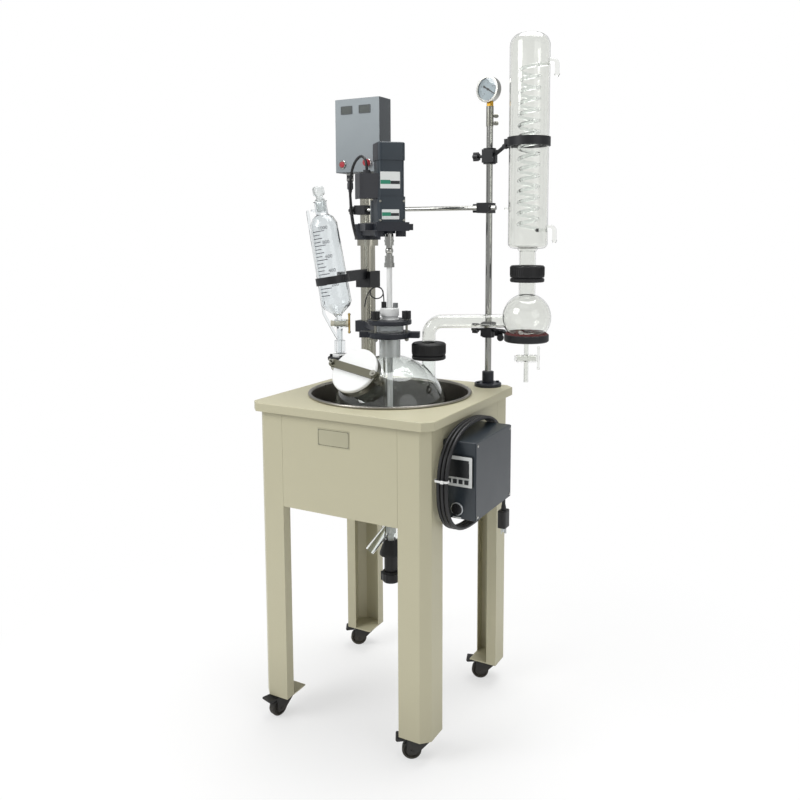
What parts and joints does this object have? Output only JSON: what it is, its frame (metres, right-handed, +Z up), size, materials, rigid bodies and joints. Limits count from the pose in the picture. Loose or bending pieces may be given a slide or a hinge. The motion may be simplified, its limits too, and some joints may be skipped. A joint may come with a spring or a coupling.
{
  "type": "glass reactor",
  "caption": "Stirred round glass reactor in a heating bath on a wheeled table, with column-mounted drive, dropping funnel, reflux condenser, receiver and gauge.",
  "frame": {"origin": "on the floor, under the middle of the square table top", "axes": "+Z up; -Y is the side with the bare plate; +X is the side with the electric heating box and the receiver"},
  "size_m": [0.6275, 0.5116, 1.714],
  "materials": {
    "cabinet": "satin powder coat",
    "zinc": "black",
    "wheel_rubber": "matt",
    "black_plastic": "matt",
    "stainless": "brushed",
    "aluminium": "satin",
    "black_steel": "satin",
    "navy_steel": "satin",
    "glass": "clear",
    "ptfe": "smooth",
    "chrome": "polished",
    "slate": "satin",
    "needle": "matt",
    "silver_panel": "satin",
    "red_plastic": "gloss",
    "blue_grey": "satin",
    "cord_rubber": "matt"
  },
  "bodies": {
    "stand": {"table_top": "cabinet", "table_legs": "cabinet", "apron_panels": "cabinet", "bath_pan": "stainless", "heating_ring": "stainless", "support_rod": "stainless", "feed_clamp": "stainless", "main_column": "aluminium", "rod_fittings": "black_steel", "clamp_plate": "black_steel", "funnel_clamp": "black_steel", "condenser_strap": "black_steel", "receiver_ring": "black_steel", "motor_bracket": "black_steel", "funnel_port": "black_steel", "vessel_clamp": "navy_steel", "clamp_screws": "black_plastic", "screw_couplings": "black_plastic", "discharge_valve": "black_plastic", "temperature_controller": "black_plastic", "reactor_flask": "glass", "flask_lid": "glass", "funnel_body": "glass", "receiver_ball": "glass", "condenser": "glass", "stir_seal": "ptfe", "feed_cover": "ptfe", "temperature_probe": "chrome", "vacuum_gauge": "chrome", "motor": "slate", "gearbox": "slate", "control_box": "silver_panel", "heater_box": "blue_grey", "motor_cable": "cord_rubber", "power_cord": "cord_rubber", "probe_cable": "cord_rubber"},
    "caster_front_left": {"caster_fork_front_left": "zinc"},
    "wheel_front_left": {"caster_wheel_front_left": "wheel_rubber"},
    "pedal_front_left": {"caster_pedal_front_left": "black_plastic"},
    "caster_front_right": {"caster_fork_front_right": "zinc"},
    "wheel_front_right": {"caster_wheel_front_right": "wheel_rubber"},
    "pedal_front_right": {"caster_pedal_front_right": "black_plastic"},
    "caster_back_right": {"caster_fork_back_right": "zinc"},
    "wheel_back_right": {"caster_wheel_back_right": "wheel_rubber"},
    "pedal_back_right": {"caster_pedal_back_right": "black_plastic"},
    "caster_back_left": {"caster_fork_back_left": "zinc"},
    "wheel_back_left": {"caster_wheel_back_left": "wheel_rubber"},
    "pedal_back_left": {"caster_pedal_back_left": "black_plastic"},
    "stirrer": {"shaft_coupling": "chrome", "stirrer": "ptfe"},
    "discharge_plug": {"discharge_knob": "black_plastic"},
    "feed_strap": {"feed_strap": "stainless"},
    "feed_nut": {"feed_nut": "chrome"},
    "funnel_stopper": {"funnel_stopper": "glass"},
    "funnel_tap": {"funnel_tap": "ptfe"},
    "receiver_tap": {"receiver_tap": "ptfe"},
    "power_switch": {"power_switch": "red_plastic"},
    "speed_knob": {"speed_knob": "red_plastic"},
    "heater_switch": {"heater_switch": "black_plastic"},
    "gauge_needle": {"gauge_needle": "needle"}
  },
  "joints": [
    {"name": "swivel_front_left", "type": "hinge", "parent": "stand", "child": "caster_front_left", "pos_m": [-0.1985, -0.1985, 0.06], "axis": [0, 0, 1], "continuous": true},
    {"name": "roll_front_left", "type": "hinge", "parent": "caster_front_left", "child": "wheel_front_left", "pos_m": [-0.20394, -0.21878, 0.023], "axis": [0.9659, -0.2588, 0], "continuous": true},
    {"name": "brake_front_left", "type": "hinge", "parent": "caster_front_left", "child": "pedal_front_left", "pos_m": [-0.20549, -0.22458, 0.0505], "axis": [0.9659, -0.2588, 0], "range_deg": [0, 10]},
    {"name": "swivel_front_right", "type": "hinge", "parent": "stand", "child": "caster_front_right", "pos_m": [0.1985, -0.1985, 0.06], "axis": [0, 0, 1], "continuous": true},
    {"name": "roll_front_right", "type": "hinge", "parent": "caster_front_right", "child": "wheel_front_right", "pos_m": [0.18013, -0.20868, 0.023], "axis": [0.4848, -0.8746, 0], "continuous": true},
    {"name": "brake_front_right", "type": "hinge", "parent": "caster_front_right", "child": "pedal_front_right", "pos_m": [0.17489, -0.21159, 0.0505], "axis": [0.4848, -0.8746, 0], "range_deg": [0, 10]},
    {"name": "swivel_back_right", "type": "hinge", "parent": "stand", "child": "caster_back_right", "pos_m": [0.1985, 0.1985, 0.06], "axis": [0, 0, 1], "continuous": true},
    {"name": "roll_back_right", "type": "hinge", "parent": "caster_back_right", "child": "wheel_back_right", "pos_m": [0.17877, 0.19132, 0.023], "axis": [0.342, -0.9397, 0], "continuous": true},
    {"name": "brake_back_right", "type": "hinge", "parent": "caster_back_right", "child": "pedal_back_right", "pos_m": [0.17313, 0.18927, 0.0505], "axis": [0.342, -0.9397, 0], "range_deg": [0, 10]},
    {"name": "swivel_back_left", "type": "hinge", "parent": "stand", "child": "caster_back_left", "pos_m": [-0.1985, 0.1985, 0.06], "axis": [0, 0, 1], "continuous": true},
    {"name": "roll_back_left", "type": "hinge", "parent": "caster_back_left", "child": "wheel_back_left", "pos_m": [-0.21669, 0.188, 0.023], "axis": [0.5, -0.866, 0], "continuous": true},
    {"name": "brake_back_left", "type": "hinge", "parent": "caster_back_left", "child": "pedal_back_left", "pos_m": [-0.22188, 0.185, 0.0505], "axis": [0.5, -0.866, 0], "range_deg": [0, 10]},
    {"name": "stirrer_spin", "type": "hinge", "parent": "stand", "child": "stirrer", "pos_m": [0, 0.01, 1.14], "axis": [0, 0, 1], "continuous": true},
    {"name": "discharge_open", "type": "slide", "parent": "stand", "child": "discharge_plug", "axis": [0, 0, -1], "range_m": [0, 0.025]},
    {"name": "strap_swing", "type": "hinge", "parent": "stand", "child": "feed_strap", "pos_m": [-0.07144, -0.14503, 0.91146], "axis": [-0.0271, -0.7767, 0.6293], "range_deg": [0, 70]},
    {"name": "nut_turn", "type": "hinge", "parent": "stand", "child": "feed_nut", "pos_m": [0.05994, -0.16427, 0.89337], "axis": [-0.0271, -0.7767, 0.6293], "continuous": true},
    {"name": "stopper_lift", "type": "slide", "parent": "stand", "child": "funnel_stopper", "axis": [-0.153, -0.0325, 0.9877], "range_m": [0, 0.045]},
    {"name": "funnel_tap_turn", "type": "hinge", "parent": "stand", "child": "funnel_tap", "pos_m": [-0.13401, -0.01848, 0.993], "axis": [0.8829, 0.4695, 0], "continuous": true},
    {"name": "receiver_tap_turn", "type": "hinge", "parent": "stand", "child": "receiver_tap", "pos_m": [0.30397, 0.1855, 0.904], "axis": [0.8829, 0.4695, 0], "continuous": true},
    {"name": "power_press", "type": "slide", "parent": "stand", "child": "power_switch", "axis": [0, 1, 0], "range_m": [0, 0.0025], "stiffness_N_per_m": 400},
    {"name": "speed_turn", "type": "hinge", "parent": "stand", "child": "speed_knob", "pos_m": [-0.136, 0.132, 1.415], "axis": [0, 1, 0], "range_deg": [0, 300]},
    {"name": "heater_turn", "type": "hinge", "parent": "stand", "child": "heater_switch", "pos_m": [0.2725, -0.16, 0.604], "axis": [0, 1, 0], "range_deg": [0, 90]},
    {"name": "needle_swing", "type": "hinge", "parent": "stand", "child": "gauge_needle", "pos_m": [0.18313, 0.2062, 1.593], "axis": [-0.2079, -0.9781, 0], "range_deg": [0, 270]}
  ]
}
